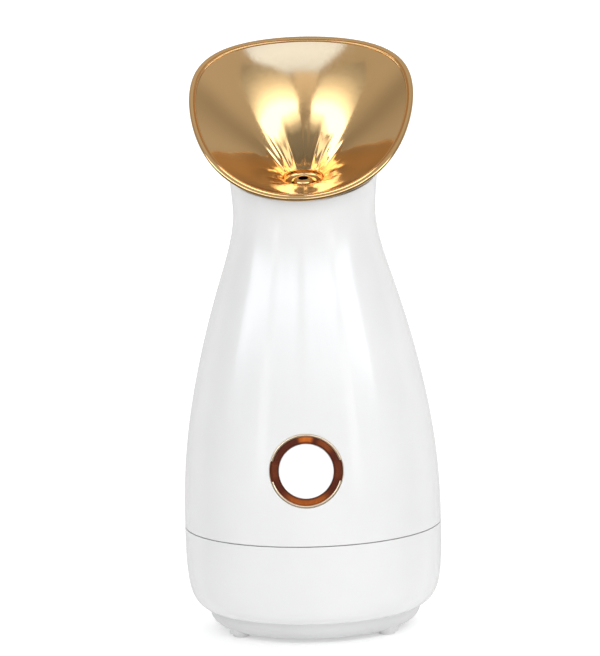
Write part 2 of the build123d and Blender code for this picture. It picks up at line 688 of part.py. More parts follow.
# ---------------------------------------------------------------- water system
def tank_bay():
    box = rounded_prism(BAY_HALF + BAY_WALL, BAY_LOW_Z - BAY_WALL, BAY_TOP_Z + BAY_WALL,
                        BAY_CORNER_R + BAY_WALL, BAY_FRONT_Y - BAY_WALL, 58)
    box &= bell(WALL + HOUSING_INNER_SLACK)
    box -= rounded_prism(BAY_HALF, BAY_LOW_Z, BAY_TOP_Z, BAY_CORNER_R, BAY_FRONT_Y, 60)
    return box - along_y(DOCK_SOCKET_R, 10, 14, 0, VALVE_Z)


def tank_dock():
    front = BAY_FRONT_Y - BAY_WALL
    body = along_y(DOCK_R, DOCK_BACK_Y, front, 0, VALVE_Z)
    body += along_y(DOCK_FLANGE_R, front - 1.5, front, 0, VALVE_Z)
    body += along_x(BARB_R, DOCK_BARB_X, -DOCK_R + 2, DOCK_BARB_Y, VALVE_Z)
    body -= along_y(DOCK_SOCKET_R, DOCK_SOCKET_Y, front + 1, 0, VALVE_Z)
    body -= along_y(DOCK_SEAL_R, *DOCK_SEAL_Y, 0, VALVE_Z)
    body -= along_y(DOCK_CHAMBER_R, DOCK_BACK_Y + 1.6, DOCK_SOCKET_Y + 1, 0, VALVE_Z)
    body += along_y(1.2, DOCK_BACK_Y + 1, NOSE_TIP_Y + 1.3, 0, VALVE_Z)
    return body - along_x(BARB_BORE_R, DOCK_BARB_X - 1, -3, DOCK_BARB_Y, VALVE_Z)


def dock_seal():
    return along_y(DOCK_SEAL_R, *DOCK_SEAL_Y, 0, VALVE_Z) - along_y(NOSE_R + FIT, 7, 11, 0, VALVE_Z)


def water_tank():
    half = BAY_HALF - TANK_SLACK
    low, high = BAY_LOW_Z + TANK_SLACK, BAY_TOP_Z - TANK_SLACK
    corner = BAY_CORNER_R - TANK_SLACK
    tank = rounded_prism(half, low, high, corner, TANK_FRONT_Y, 60) & bell(0)
    inner = bell(TANK_WALL)
    inside_y = TANK_FRONT_Y + TANK_WALL
    tank -= rounded_prism(half - TANK_WALL, low + TANK_WALL, high + 20, corner - 1, inside_y, 60) & inner
    tank -= block((-40, 40), (0, 60), (TANK_RIM_Z, FAR)) & inner
    tank -= along_y(GRIP_R, 20, 60, 0, GRIP_Z)
    tank += along_y(NOSE_R, NOSE_TIP_Y, TANK_FRONT_Y + 1, 0, VALVE_Z)
    tank -= along_y(NOSE_BORE_R, NOSE_TIP_Y + SEAT_THICK, inside_y + 1, 0, VALVE_Z)
    return tank - along_y(SEAT_BORE_R, NOSE_TIP_Y - 1, NOSE_TIP_Y + 3, 0, VALVE_Z)


def valve_cage():
    cage = along_y(NOSE_BORE_R, *CAGE_Y, 0, VALVE_Z) - along_y(1.4, 13, 17, 0, VALVE_Z)
    for angle in (45, 135, 225, 315):
        turn = radians(angle)
        cage -= along_y(1.1, 13, 17, 3.3 * cos(turn), VALVE_Z + 3.3 * sin(turn))
    return cage


def valve_poppet():
    poppet = along_y(DOCK_CHAMBER_R, POPPET_Y, POPPET_Y + POPPET_THICK, 0, VALVE_Z)
    return poppet + along_y(1.3, POPPET_Y + 1, CAGE_Y[1] + 1, 0, VALVE_Z)


def valve_spring():
    low = POPPET_Y + POPPET_THICK + FIT + SPRING_WIRE_R
    coil = Helix(pitch=SPRING_PITCH, height=CAGE_Y[0] - FIT - SPRING_WIRE_R - low, radius=SPRING_R)
    spring = sweep(Plane(origin=coil @ 0, z_dir=coil % 0) * Circle(SPRING_WIRE_R), path=coil)
    return Pos(0, low, VALVE_Z) * Rot(-90, 0, 0) * spring


def lid_outline(trim, inset, z_low, z_high):
    """A plate over the tank's mouth, clear of the tank's rear skin, less trim at the sides and front."""
    plate = block((trim - LID_HALF, LID_HALF - trim), (LID_FRONT_Y + trim, 60), (z_low, z_high))
    return plate & bell(TANK_WALL + inset)


def skirt_outline(inset, z_low, z_high):
    """What stands inside the tank's mouth, drawn in by inset."""
    outline = block((inset - SKIRT_HALF, SKIRT_HALF - inset), (SKIRT_FRONT_Y + inset, 60), (z_low, z_high))
    return outline & bell(TANK_WALL + 2 * LID_SLACK + inset)


def tank_lid():
    lid = lid_outline(0, LID_SLACK, LID_LOW_Z, LID_TOP_Z)
    lid += skirt_outline(0, LID_LOW_Z - SKIRT_DEPTH, LID_LOW_Z + 0.2)
    lid -= skirt_outline(SKIRT_WALL, LID_LOW_Z - SKIRT_DEPTH - 1, LID_LOW_Z)
    return lid + block((-12, 12), (27, 29.5), (LID_TOP_Z - 0.4, LID_TOP_Z + 1.6))


def lid_gasket():
    frame = lid_outline(0.3, LID_SLACK + 0.1, TANK_RIM_Z + FIT, LID_LOW_Z)
    return frame - skirt_outline(-0.1, TANK_RIM_Z - 1, LID_LOW_Z + 1)


# ---------------------------------------------------------------- write every sub-part
SUBPARTS = [
    upper_housing, lower_housing, base_cover, rubber_feet, base_screws, housing_screws,
    cord_grommet, terminal_block,
    boiler_body, boiler_gasket, boiler_lid, boiler_screws, heater_element, thermostat, thermal_fuse,
    steam_hose, feed_hose, power_leads, heater_leads,
    power_board, power_components, button_board, button_screws, tact_switch, switch_plunger,
    indicator_leds, button_trim_ring, indicator_ring, button_cap,
    neck_collar, collar_seal, steam_nozzle, funnel_cup, funnel_shroud,
    tank_bay, tank_dock, dock_seal, water_tank, valve_cage, valve_poppet, valve_spring,
    tank_lid, lid_gasket,
]

os.makedirs("parts", exist_ok=True)
for make in SUBPARTS:
    export_step(make(), f"parts/{make.__name__}.step")
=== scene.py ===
import json
from math import cos, hypot, pi, radians, sin, tan

import bpy
import numpy as np
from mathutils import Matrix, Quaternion, Vector

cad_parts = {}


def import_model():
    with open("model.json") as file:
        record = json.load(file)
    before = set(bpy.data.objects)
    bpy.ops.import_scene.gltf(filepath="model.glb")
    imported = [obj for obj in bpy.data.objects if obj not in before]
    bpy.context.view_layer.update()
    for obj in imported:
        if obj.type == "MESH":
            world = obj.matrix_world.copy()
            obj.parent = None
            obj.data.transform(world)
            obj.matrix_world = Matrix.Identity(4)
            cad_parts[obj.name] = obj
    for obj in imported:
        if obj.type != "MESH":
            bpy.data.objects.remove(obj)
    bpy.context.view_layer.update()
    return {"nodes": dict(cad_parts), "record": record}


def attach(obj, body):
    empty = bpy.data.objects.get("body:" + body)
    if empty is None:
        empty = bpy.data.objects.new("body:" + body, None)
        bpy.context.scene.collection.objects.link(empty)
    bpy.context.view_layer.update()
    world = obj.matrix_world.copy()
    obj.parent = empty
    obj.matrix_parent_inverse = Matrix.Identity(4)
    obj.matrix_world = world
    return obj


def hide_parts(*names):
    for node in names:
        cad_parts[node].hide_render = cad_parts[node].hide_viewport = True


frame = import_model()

# ---------------------------------------------------------------- sizes, in millimetres unless said
MM = 0.001
AROUND = 288                    # mesh columns round the housing and the funnel

# The bell: (radius, height) points up its outside.
BELL = [(52.2, 42.5), (51.7, 62), (49.8, 81), (46.5, 100), (41.8, 120),
        (36.0, 140), (30.6, 158), (28.9, 169), (29.4, 179), (31.6, 198)]
BELL_STEPS = 400
SEAM_Z = 42.5
WALL = 2.2
SKIN_INSET = 0.04               # keeps the bell's skin inside the housing's faceted outline
SKIN_ROWS = 150
BELL_EDGE = 0.35                # rounding of the neck's rim, at these turns in degrees
EDGE_TURNS = (15, 30, 45, 60, 75, 90)
BELL_FOOT = 0.3                 # rounding at the seam, at these turns in degrees
FOOT_TURNS = (0, 30, 60)
INNER_EDGE = 0.05               # drop from the neck's rim to the top of the inside
INNER_START = 0.02              # share of the height at which the inside's rows start, from the top
INNER_ROWS = 60

# The neck's slanted seat for the funnel: its height on the axis and its forward lean in degrees.
HEAD_Z = 187.0
HEAD_LEAN = 15.0

# The button: its place, its lean in degrees, then radii, and heights along its own axis.
BUTTON_Z = 73.0
BUTTON_SURFACE_Y = -50.7
BUTTON_LEAN = 5.3
BUTTON_LOW = -6.35              # the back of both rings
CAP_R = 11.0
CAP_PROUD = 0.55
CAP_EDGE = 0.45                 # rounding of the cap's edge, from this turn in radians
CAP_EDGE_START = 0.2
CAP_EDGE_STEPS = 6
CAP_FACE = (0.4, 2, 4, 6, 8, 9.5, 10.3)   # radii of the face's rows
CAP_FLANGE_R = 12.2
CAP_FLANGE = (-7.1, -8.1)
CAP_STEM_R = 2.5
CAP_STEM_LOW = -8.9
CAP_COLUMNS = 128
RING_BORE_R = 11.2
RING_R = 13.75
RING_COLUMNS = 720
# The amber ring's face: (distance out from the bore, height) and then (in from the edge, height).
RING_FACE = [(0.0, -0.5), (0.05, -0.2), (0.25, -0.06), (0.8, -0.05), (1.6, -0.05)]
RING_EDGE = [(0.2, -0.06), (0.04, -0.2), (0.0, -0.45)]
EAR_R = 14.5
EAR_HALF_WIDTH = 4.2
EAR_LOW = -5.0
TRIM_BORE_R = 13.8
TRIM_R = 14.9
TRIM_PROUD = 0.45
TRIM_SLACK = 0.05               # gap between the trim ring and the amber ring's ears
# The trim ring's rounded face: (share of the way across it, height over the bell's skin).
TRIM_CROWN = [(0.0, -0.12), (0.12, 0.12), (0.3, 0.3), (0.55, TRIM_PROUD - 0.05), (0.8, 0.28), (0.98, 0.1),
              (1.0, -0.4)]
FIT_ROUNDS = 6                  # rounds of correction when a point is laid on the bell
BUTTON_HOLE_R = 14.95
HOLE_REACH = (-12.0, 6.0)
HOLE_COLUMNS = 160

# The tank's bay: half its width, its heights, and where its tool starts and ends from front to back.
BAY_HALF = 29.3
BAY_LOW_Z = 54.0
BAY_TOP_Z = 114.0
BAY_CORNER_R = 4.0
BAY_CORNER_STEPS = 12
BAY_FRONT_Y = 13.0
BAY_REACH_Y = 70.0

# The funnel, in the head frame: x across, v backward and w up from the seat, both leaning with it.
WELL_R = 8.0
WELL_EDGE_R = 8.2
WELL_TOP = -2.5
WELL_FLOOR = -5.2
WELL_OUTER_R = 9.8
WELL_HOLE_R = 4.7
SPIGOT_LOW = -9.8
STEM_TOP = -5.5
STEM_EDGE = 0.2
CUP_WALL = 1.4
# The egg shape: how much wider than an ellipse (even, with cos and with cos of twice the angle), and
# how far its widest place lies behind the middle, as a share of its length.
EGG_BULGE = (0.08, -0.057, 0.0875)
EGG_SHIFT = 0.0914
# Its rings: front end and rear end as (v, w), half width, share of the egg shape.
CUP_RINGS = [((-WELL_EDGE_R, WELL_TOP), (WELL_EDGE_R, WELL_TOP), WELL_EDGE_R, 0.0),
             ((-20.0, 0.3), (13.5, 12.5), 19.0, 0.3),
             ((-29.0, 2.5), (23.5, 29.0), 32.3, 0.75)]
LIP_RING = ((-37.4, 3.4), (36.2, 44.3), 45.6, 1.0)
LIP_WIDTH = 2.9                 # of the flat flange on the polished face
LIP_BACKING = 1.3               # how far the cup's back wall stays inside the lip's edge
LIP_THICK = 1.5
MOUTH_SHIFT = (-LIP_WIDTH - 0.02, 0.55)   # where the bowl meets the flange: in from the lip, and below it
WALL_ROWS = 120
UNDER_ROWS = 40
UNDER_GROW = 1.1                # how far the cup's back stands outside its face
FLUTES = 18
FLUTE_DEPTH = 0.2
FLUTE_FRONT_SHARE = 0.1         # how deep the flutes still are in front, where they fade out
FLUTE_WIDTH = 0.34              # of the pitch
FLUTE_START = 0.03              # share of the wall over which they deepen from the well
FLUTE_REAR = (0.1, 0.7)         # how far back round the bowl they start to deepen and are full
FLUTE_FADE = (0.2, 0.5)         # where along the wall the flutes start to fade and where they end


# ---------------------------------------------------------------- curves and meshes
def slopes(knots, places):
    """The slopes of the smooth cubic through the knots, with parabolic ends."""
    step = np.diff(places)
    rise = np.diff(knots, axis=0) / step.reshape(-1, *[1] * (knots.ndim - 1))
    count = len(places)
    system = np.zeros((count, count))
    right = np.zeros_like(knots)
    system[0, 0] = system[-1, -1] = 1.0
    right[0] = rise[0] + (rise[0] - rise[1]) * step[0] / (step[0] + step[1])
    right[-1] = rise[-1] + (rise[-1] - rise[-2]) * step[-1] / (step[-1] + step[-2])
    for i in range(1, count - 1):
        system[i, i - 1:i + 2] = 1 / step[i - 1], 2 / step[i - 1] + 2 / step[i], 1 / step[i]
        right[i] = 3 * (rise[i - 1] / step[i - 1] + rise[i] / step[i])
    flat = np.linalg.solve(system, right.reshape(count, -1))
    return flat.reshape(knots.shape)


def curve_through(knots, count):
    """Points, evenly spaced in parameter, along the smooth curve through the knots."""
    knots = np.asarray(knots, float)
    length = np.linalg.norm(np.diff(knots, axis=0), axis=-1)
    places = np.concatenate([[0.0], np.cumsum(length.reshape(len(length), -1).mean(axis=1))])
    slope = slopes(knots, places)
    rows = []
    for place in np.linspace(0, places[-1], count):
        i = min(np.searchsorted(places, place, side="right") - 1, len(places) - 2)
        step = places[i + 1] - places[i]
        t = (place - places[i]) / step
        rows.append((2 * t ** 3 - 3 * t ** 2 + 1) * knots[i] + (t ** 3 - 2 * t ** 2 + t) * step * slope[i]
                    + (3 * t ** 2 - 2 * t ** 3) * knots[i + 1] + (t ** 3 - t ** 2) * step * slope[i + 1])
    return np.array(rows)


def rounded_outline(corners, radius, steps):
    """A closed polyline of (a, b) points with each corner cut back by the radius and turned smoothly."""
    points = []
    for i, corner in enumerate(corners):
        here = np.array(corner, float)
        ends = []
        for other in (corners[i - 1], corners[(i + 1) % len(corners)]):
            run = np.array(other, float) - here
            ends.append(here + run / np.linalg.norm(run) * radius)
        for t in np.linspace(0, 1, steps):
            points.append((1 - t) ** 2 * ends[0] + 2 * t * (1 - t) * here + t ** 2 * ends[1])
    return np.array(points)


def solid_from_grid(name, grid, ends_closed=False):
    """A mesh object from rows of points that each run round; the last row joins the first,
    or each end is closed with one flat face."""
    rows, columns = grid.shape[:2]
    vertices = (grid.reshape(-1, 3) * MM).tolist()
    faces = []
    for i in range(rows - 1 if ends_closed else rows):
        low, high = i * columns, (i + 1) % rows * columns
        for j in range(columns):
            after = (j + 1) % columns
            faces.append((low + j, low + after, high + after, high + j))
    if ends_closed:
        faces.append(tuple(range(columns - 1, -1, -1)))
        faces.append(tuple(range((rows - 1) * columns, rows * columns)))
    mesh = bpy.data.meshes.new(name)
    mesh.from_pydata(vertices, [], faces)
    piece = bpy.data.objects.new(name, mesh)
    bpy.context.scene.collection.objects.link(piece)
    face_outward(mesh)
    return piece


def face_outward(mesh):
    """Turns the faces outward if the mesh encloses a negative volume."""
    volume = 0.0
    mesh.calc_loop_triangles()
    for triangle in mesh.loop_triangles:
        a, b, c = (mesh.vertices[i].co for i in triangle.vertices)
        volume += a.dot(b.cross(c))
    if volume < 0:
        mesh.flip_normals()


def finish_piece(piece, body, slot, nodes, edge_angle, material=None):
    """Smooth shading with crisp edges, a material, and the piece's place in the frame."""
    piece.data.polygons.foreach_set("use_smooth", [True] * len(piece.data.polygons))
    piece.data.set_sharp_from_angle(angle=radians(edge_angle))
    piece.data.materials.clear()
    piece.data.materials.append(MATERIALS[material or slot])
    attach(piece, body)
    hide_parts(*nodes)


def turns(count=AROUND):
    """Evenly spaced angles round a full turn."""
    return np.arange(count) * 2 * pi / count


def button_point(across, high, out):
    """The place of a point given in the button's own frame."""
    lean = radians(BUTTON_LEAN)
    return (across, BUTTON_SURFACE_Y + high * sin(lean) - out * cos(lean),
            BUTTON_Z + high * cos(lean) + out * sin(lean))


def cut(piece, *tools):
    """Takes the tools away from the piece and deletes them."""
    for tool in tools:
        change = piece.modifiers.new("cut", "BOOLEAN")
        change.object = tool
        change.operation = "DIFFERENCE"
        change.solver = "EXACT"
    seen = piece.evaluated_get(bpy.context.evaluated_depsgraph_get())
    mesh = bpy.data.meshes.new_from_object(seen)
    piece.modifiers.clear()
    piece.data = mesh
    for tool in tools:
        bpy.data.objects.remove(tool)


# ---------------------------------------------------------------- materials
COAT_ROUGH = 0.06
ACRYLIC_IOR = 1.49
CLEAR_RELIEF = 0.000005         # in metres
NOISE_MIDDLE = (0.3, 0.7)       # the range in which most of a noise's values lie
# The broad and fine noise of each kind of material, as (scale, detail), and how uneven its gloss is.
MOULDED_BROAD, MOULDED_FINE, MOULDED_UNEVEN = (28.0, 3.0), (900.0, 5.0), 0.15
METAL_BROAD, METAL_DETAIL, METAL_UNEVEN = (22.0, 3.0), 4.0, 0.2
CLEAR_BROAD, CLEAR_FINE, CLEAR_UNEVEN = (30.0, 3.0), (500.0, 4.0), 0.2


def new_material(name):
    """A material with its main shader."""
    material = bpy.data.materials.new(name)
    material.use_nodes = True
    return material, material.node_tree.nodes["Principled BSDF"]


def link(material, out, into):
    """Joins one node's output to another's input."""
    material.node_tree.links.new(out, into)


def noise(material, scale, detail=4.0, stretch=(1, 1, 1)):
    """Noise in the object's own space; scale is in features per metre."""
    nodes = material.node_tree.nodes
    place = nodes.new("ShaderNodeTexCoord")
    mapping = nodes.new("ShaderNodeMapping")
    mapping.inputs["Scale"].default_value = stretch
    texture = nodes.new("ShaderNodeTexNoise")
    texture.inputs["Scale"].default_value = scale
    texture.inputs["Detail"].default_value = detail
    link(material, place.outputs["Object"], mapping.inputs["Vector"])
    link(material, mapping.outputs["Vector"], texture.inputs["Vector"])
    return texture.outputs["Fac"]


def spread(material, factor, low, high):
    """The factor's middle range, stretched to run from low to high."""
    span = material.node_tree.nodes.new("ShaderNodeMapRange")
    span.inputs["From Min"].default_value = NOISE_MIDDLE[0]
    span.inputs["From Max"].default_value = NOISE_MIDDLE[1]
    span.inputs["To Min"].default_value = low
    span.inputs["To Max"].default_value = high
    link(material, factor, span.inputs["Value"])
    return span.outputs["Result"]


def mixed(material, factor, first, second):
    """A colour between two, by factor."""
    mix = material.node_tree.nodes.new("ShaderNodeMix")
    mix.data_type = "RGBA"
    mix.inputs["A"].default_value = (*first, 1)
    mix.inputs["B"].default_value = (*second, 1)
    link(material, factor, mix.inputs["Factor"])
    return mix.outputs["Result"]


def bump(material, shader, factor, height):
    """Relief of that height in metres."""
    relief = material.node_tree.nodes.new("ShaderNodeBump")
    relief.inputs["Distance"].default_value = height
    link(material, factor, relief.inputs["Height"])
    link(material, relief.outputs["Normal"], shader.inputs["Normal"])


def surface(name, first, second, rough, broad, fine, relief, uneven):
    """A material whose colour drifts between two tones over a broad noise, and whose gloss and relief
    follow a fine one; each noise is (scale, detail, stretch) and uneven is the share gloss varies by."""
    material, shader = new_material(name)
    tone = spread(material, noise(material, *broad), 0, 1)
    grain = noise(material, *fine)
    link(material, mixed(material, tone, first, second), shader.inputs["Base Color"])
    gloss = spread(material, grain, rough * (1 - uneven), rough * (1 + uneven))
    link(material, gloss, shader.inputs["Roughness"])
    bump(material, shader, grain, relief)
    return material, shader


def moulded(name, first, second, rough, relief=0.00002, coat=0.0):
    """A moulded plastic with a fine skin texture."""
    material, shader = surface(name, first, second, rough, MOULDED_BROAD, MOULDED_FINE, relief,
                               MOULDED_UNEVEN)
    shader.inputs["Coat Weight"].default_value = coat
    shader.inputs["Coat Roughness"].default_value = COAT_ROUGH
    return material


def metal(name, first, second, rough, stretch=(1, 1, 1), grain=600.0, relief=0.000004):
    """A metal or plated surface."""
    material, shader = surface(name, first, second, rough, METAL_BROAD, (grain, METAL_DETAIL, stretch),
                               relief, METAL_UNEVEN)
    shader.inputs["Metallic"].default_value = 1.0
    return material


def clear(name, first, second, rough, transmission=1.0, cover=1.0):
    """A clear or milky plastic: cover is the share of light that its surface bends or stops."""
    material, shader = surface(name, first, second, rough, CLEAR_BROAD, CLEAR_FINE, CLEAR_RELIEF,
                               CLEAR_UNEVEN)
    shader.inputs["Transmission Weight"].default_value = transmission
    shader.inputs["Alpha"].default_value = cover
    shader.inputs["IOR"].default_value = ACRYLIC_IOR
    return material


def maths(material, operation, *values, clamped=False):
    """One arithmetic node; each value is a number or another node's output."""
    node = material.node_tree.nodes.new("ShaderNodeMath")
    node.operation = operation
    node.use_clamp = clamped
    for i, value in enumerate(values):
        if isinstance(value, (int, float)):
            node.inputs[i].default_value = value
        else:
            link(material, value, node.inputs[i])
    return node.outputs["Value"]


def ramp(material, value, low, high, start, end):
    """A smooth run from start to end while the value goes from low to high."""
    span = material.node_tree.nodes.new("ShaderNodeMapRange")
    span.interpolation_type = "SMOOTHSTEP"
    span.inputs["From Min"].default_value = low
    span.inputs["From Max"].default_value = high
    span.inputs["To Min"].default_value = start
    span.inputs["To Max"].default_value = end
    link(material, value, span.inputs["Value"])
    return span.outputs["Result"]


# The lit ring: its dark and lit colours, and the share of the glow left at its inner and outer edge,
# with the distances from its bore and from its outside over which the glow falls to that.
LENS_DARK = (0.085, 0.018, 0.009)
LENS_LIT = (0.33, 0.085, 0.01)
LENS_RIM_SHADE = (0.25, 0.55)
LENS_BORE_FADE = (0.1, 0.9)
LENS_OUTER_FADE = (-0.5, 0.1)
LENS_MOTTLE = (700.0, 3.0)      # noise scale and detail
LENS_PATCHY = (0.85, 1.1)
LENS_ROUGH = (0.22, 0.3)
LENS_IDLE_GLOW = 0.16
LENS_SPECULAR = 0.12
LENS_RELIEF = 0.000004          # in metres
LAMP_CORE = 0.45                # the share of its half width over which a lamp glows fully
# Lamps behind the ring: angle from the top in degrees, half width in degrees, strength.
RING_LAMPS = [(0, 17, 0.8), (38, 20, 0.3), (180, 52, 0.55), (90, 20, 0.12), (-90, 20, 0.12)]


def ring_place(material):
    """A point's angle from the top and its distance from the middle, seen along the button's axis."""
    nodes = material.node_tree.nodes
    place = nodes.new("ShaderNodeTexCoord")
    centred = nodes.new("ShaderNodeVectorMath")
    centred.operation = "SUBTRACT"
    centred.inputs[1].default_value = tuple(c * MM for c in button_point(0, 0, 0))
    split = nodes.new("ShaderNodeSeparateXYZ")
    link(material, place.outputs["Object"], centred.inputs[0])
    link(material, centred.outputs["Vector"], split.inputs["Vector"])
    across, high = split.outputs["X"], split.outputs["Z"]
    squares = [maths(material, "MULTIPLY", side, side) for side in (across, high)]
    radius = maths(material, "SQRT", maths(material, "ADD", *squares))
    return maths(material, "ARCTAN2", across, high), radius


def lamps_glow(material, angle):
    """The strongest of the lamps' glows at an angle round the ring."""
    glow = 0.0
    for turn, half, power in RING_LAMPS:
        off = maths(material, "WRAP", maths(material, "SUBTRACT", angle, radians(turn)), pi, -pi)
        away = maths(material, "ABSOLUTE", off)
        lamp = ramp(material, away, radians(half * LAMP_CORE), radians(half), power, 0.0)
        glow = maths(material, "MAXIMUM", glow, lamp)
    return glow


def lit_lens():
    """The indicator ring: dark amber plastic over small lamps at the top and at the bottom."""
    material, shader = new_material("amber_lens")
    angle, radius = ring_place(material)
    mottle = noise(material, *LENS_MOTTLE)
    bore = [(RING_BORE_R + inset) * MM for inset in LENS_BORE_FADE]
    outside = [(RING_R + inset) * MM for inset in LENS_OUTER_FADE]
    edges = maths(material, "MULTIPLY", ramp(material, radius, *bore, LENS_RIM_SHADE[0], 1.0),
                  ramp(material, radius, *outside, 1.0, LENS_RIM_SHADE[1]))
    uneven = maths(material, "MULTIPLY", spread(material, mottle, *LENS_PATCHY), edges)
    glow = maths(material, "MULTIPLY", lamps_glow(material, angle), uneven, clamped=True)
    colour = mixed(material, glow, LENS_DARK, LENS_LIT)
    link(material, colour, shader.inputs["Base Color"])
    link(material, colour, shader.inputs["Emission Color"])
    link(material, maths(material, "ADD", glow, LENS_IDLE_GLOW), shader.inputs["Emission Strength"])
    link(material, spread(material, mottle, *LENS_ROUGH), shader.inputs["Roughness"])
    shader.inputs["Specular IOR Level"].default_value = LENS_SPECULAR
    bump(material, shader, mottle, LENS_RELIEF)
    return material


MATERIALS = {
    "white_shell": moulded("white_shell", (0.81, 0.81, 0.81), (0.84, 0.84, 0.84), 0.2, coat=0.35),
    # A lighter copy of the white shell for the push cap: painted light, so the cap stands brighter than the
    # bell.
    "button_lit_white": moulded("button_lit_white", (0.93, 0.93, 0.93), (0.96, 0.96, 0.96), 0.25, coat=0.3),
    # A greyer copy of the white shell for the base cover: painted shade, for the base sitting low and in
    # shadow.
    "base_shaded_white": moulded("base_shaded_white", (0.67, 0.67, 0.67), (0.71, 0.71, 0.71), 0.35),
    "grey_plastic": moulded("grey_plastic", (0.60, 0.60, 0.61), (0.66, 0.66, 0.67), 0.42, relief=0.00004),
    "natural_plastic": moulded("natural_plastic", (0.76, 0.74, 0.70), (0.82, 0.80, 0.76), 0.4),
    "gold_plating": metal("gold_plating", (0.80, 0.50, 0.22), (0.85, 0.54, 0.25), 0.09),
    "gold_shell": metal("gold_shell", (0.80, 0.58, 0.38), (0.84, 0.62, 0.42), 0.2, relief=0.0),
    "rose_gold": metal("rose_gold", (0.93, 0.72, 0.50), (0.97, 0.78, 0.56), 0.36),
    "amber_lens": lit_lens(),
    "clear_tank": clear("clear_tank", (0.95, 0.97, 0.98), (0.98, 0.99, 0.99), 0.05, cover=0.5),
    "rubber_grey": moulded("rubber_grey", (0.66, 0.66, 0.65), (0.74, 0.74, 0.73), 0.6, relief=0.00005),
    "silicone_clear": clear("silicone_clear", (0.84, 0.84, 0.80), (0.9, 0.9, 0.86), 0.35,
                            transmission=0.6),
    "boiler_metal": metal("boiler_metal", (0.66, 0.67, 0.68), (0.76, 0.77, 0.78), 0.4,
                          grain=1600.0, relief=0.00003),
    "steel": metal("steel", (0.58, 0.58, 0.57), (0.68, 0.68, 0.66), 0.28, stretch=(1, 1, 6)),
    "circuit_board": moulded("circuit_board", (0.03, 0.20, 0.09), (0.05, 0.28, 0.13), 0.3),
    "component_black": moulded("component_black", (0.03, 0.03, 0.032), (0.05, 0.05, 0.052), 0.45),
    "led_amber": moulded("led_amber", (0.95, 0.55, 0.16), (1.0, 0.66, 0.26), 0.3),
    "wire_red": moulded("wire_red", (0.42, 0.05, 0.04), (0.55, 0.08, 0.06), 0.45),
    "heater_ceramic": moulded("heater_ceramic", (0.72, 0.68, 0.60), (0.82, 0.78, 0.72), 0.7, relief=0.0001),
}


# ---------------------------------------------------------------- the funnel
def egg_point(ring, angle, grow=0.0, lower=0.0):
    """Points of a ring in the head frame, as (x, v, w) rows, at an array of angles."""
    front, rear, half_width, egginess = ring
    length = hypot(rear[0] - front[0], rear[1] - front[1])
    run, rise = (rear[0] - front[0]) / length, (rear[1] - front[1]) / length
    bulge = EGG_BULGE[0] + EGG_BULGE[1] * np.cos(angle) + EGG_BULGE[2] * np.cos(2 * angle)
    across = (half_width + grow) * np.sin(angle) * (1 + egginess * bulge)
    share = (1 - np.cos(angle)) / 2 + egginess * EGG_SHIFT * np.sin(angle) ** 2
    forward = front[0] - run * grow + rise * lower
    low = front[1] - rise * grow - run * lower
    reach = length + 2 * grow
    return np.stack([across, forward + run * reach * share, low + rise * reach * share], axis=-1)


def from_head(points):
    """Head-frame rows (x, v, w) in the object's own frame."""
    lean = radians(HEAD_LEAN)
    x, v, w = points[..., 0], points[..., 1], points[..., 2]
    return np.stack([x, v * cos(lean) - w * sin(lean), HEAD_Z + v * sin(lean) + w * cos(lean)], axis=-1)


def head_ring(radius, height, angle):
    """A round ring about the head axis, its first point at the front."""
    return np.stack([radius * np.sin(angle), -radius * np.cos(angle), np.full_like(angle, height)], axis=-1)


def smoothstep(low, high, value):
    """Eases from 0 to 1 while the value goes from low to high."""
    t = np.clip((value - low) / (high - low), 0, 1)
    return t * t * (3 - 2 * t)


# The well's section in the head frame: (radius, height) from the steam hole up to the bowl.
WELL_SECTION = [(WELL_HOLE_R, WELL_FLOOR), (WELL_R - 1.3, WELL_FLOOR), (WELL_R - 0.6, WELL_FLOOR + 0.15),
                (WELL_R - 0.15, WELL_FLOOR + 0.6), (WELL_R, WELL_FLOOR + 1.3),
                (WELL_R + 0.02, WELL_TOP - 0.7), (WELL_R + 0.06, WELL_TOP - 0.4),
                (WELL_R + 0.12, WELL_TOP - 0.18)]
# The rim's section, outward across it: (distance in from the edge, depth below the rim's plane).
RIM_SECTION = [(LIP_WIDTH, 0.35), (2.82, 0.12), (2.7, 0.02), (2.58, 0.0), (2.48, 0.05), (2.4, 0.25),
               (2.3, 0.5), (2.1, 0.6), (1.9, 0.5), (1.8, 0.25), (1.72, 0.05), (1.6, 0.0), (1.3, 0.0),
               (0.95, 0.0), (0.66, 0.05), (0.4, 0.17), (0.19, 0.36), (0.05, 0.62), (0.0, 0.9), (0.03, 1.15),
               (0.15, 1.36), (0.4, 1.48), (0.8, LIP_THICK)]
# The stem under the well: (radius, height), back to the steam hole.
STEM_SECTION = [(WELL_OUTER_R, STEM_TOP), (WELL_OUTER_R, SPIGOT_LOW + STEM_EDGE),
                (WELL_OUTER_R - STEM_EDGE, SPIGOT_LOW), (WELL_HOLE_R, SPIGOT_LOW)]


def inward_normals(wall):
    """Unit normals of a grid of rings, on the side where the rings' middles lie."""
    across = np.gradient(wall, axis=0)
    around = np.roll(wall, -1, axis=1) - np.roll(wall, 1, axis=1)
    normal = np.cross(across, around)
    normal /= np.linalg.norm(normal, axis=-1, keepdims=True)
    middle = wall.mean(axis=1, keepdims=True)
    if ((middle - wall) * normal).sum() < 0:
        normal = -normal
    return normal


def fluted(wall, angle):
    """The bowl's face with its flutes: narrow valleys that are deepest at the rear."""
    share = np.linspace(0, 1, len(wall))
    depth = FLUTE_DEPTH * smoothstep(0.0, FLUTE_START, share) * (1 - smoothstep(*FLUTE_FADE, share))
    rear = FLUTE_FRONT_SHARE + (1 - FLUTE_FRONT_SHARE) * smoothstep(*FLUTE_REAR, -np.cos(angle))
    off_valley = (FLUTES * angle / (2 * pi) + 0.5) % 1 - 0.5
    valley = np.exp(-(off_valley / (FLUTE_WIDTH / 2)) ** 2)
    return wall - inward_normals(wall) * np.outer(depth, valley * rear)[..., None]


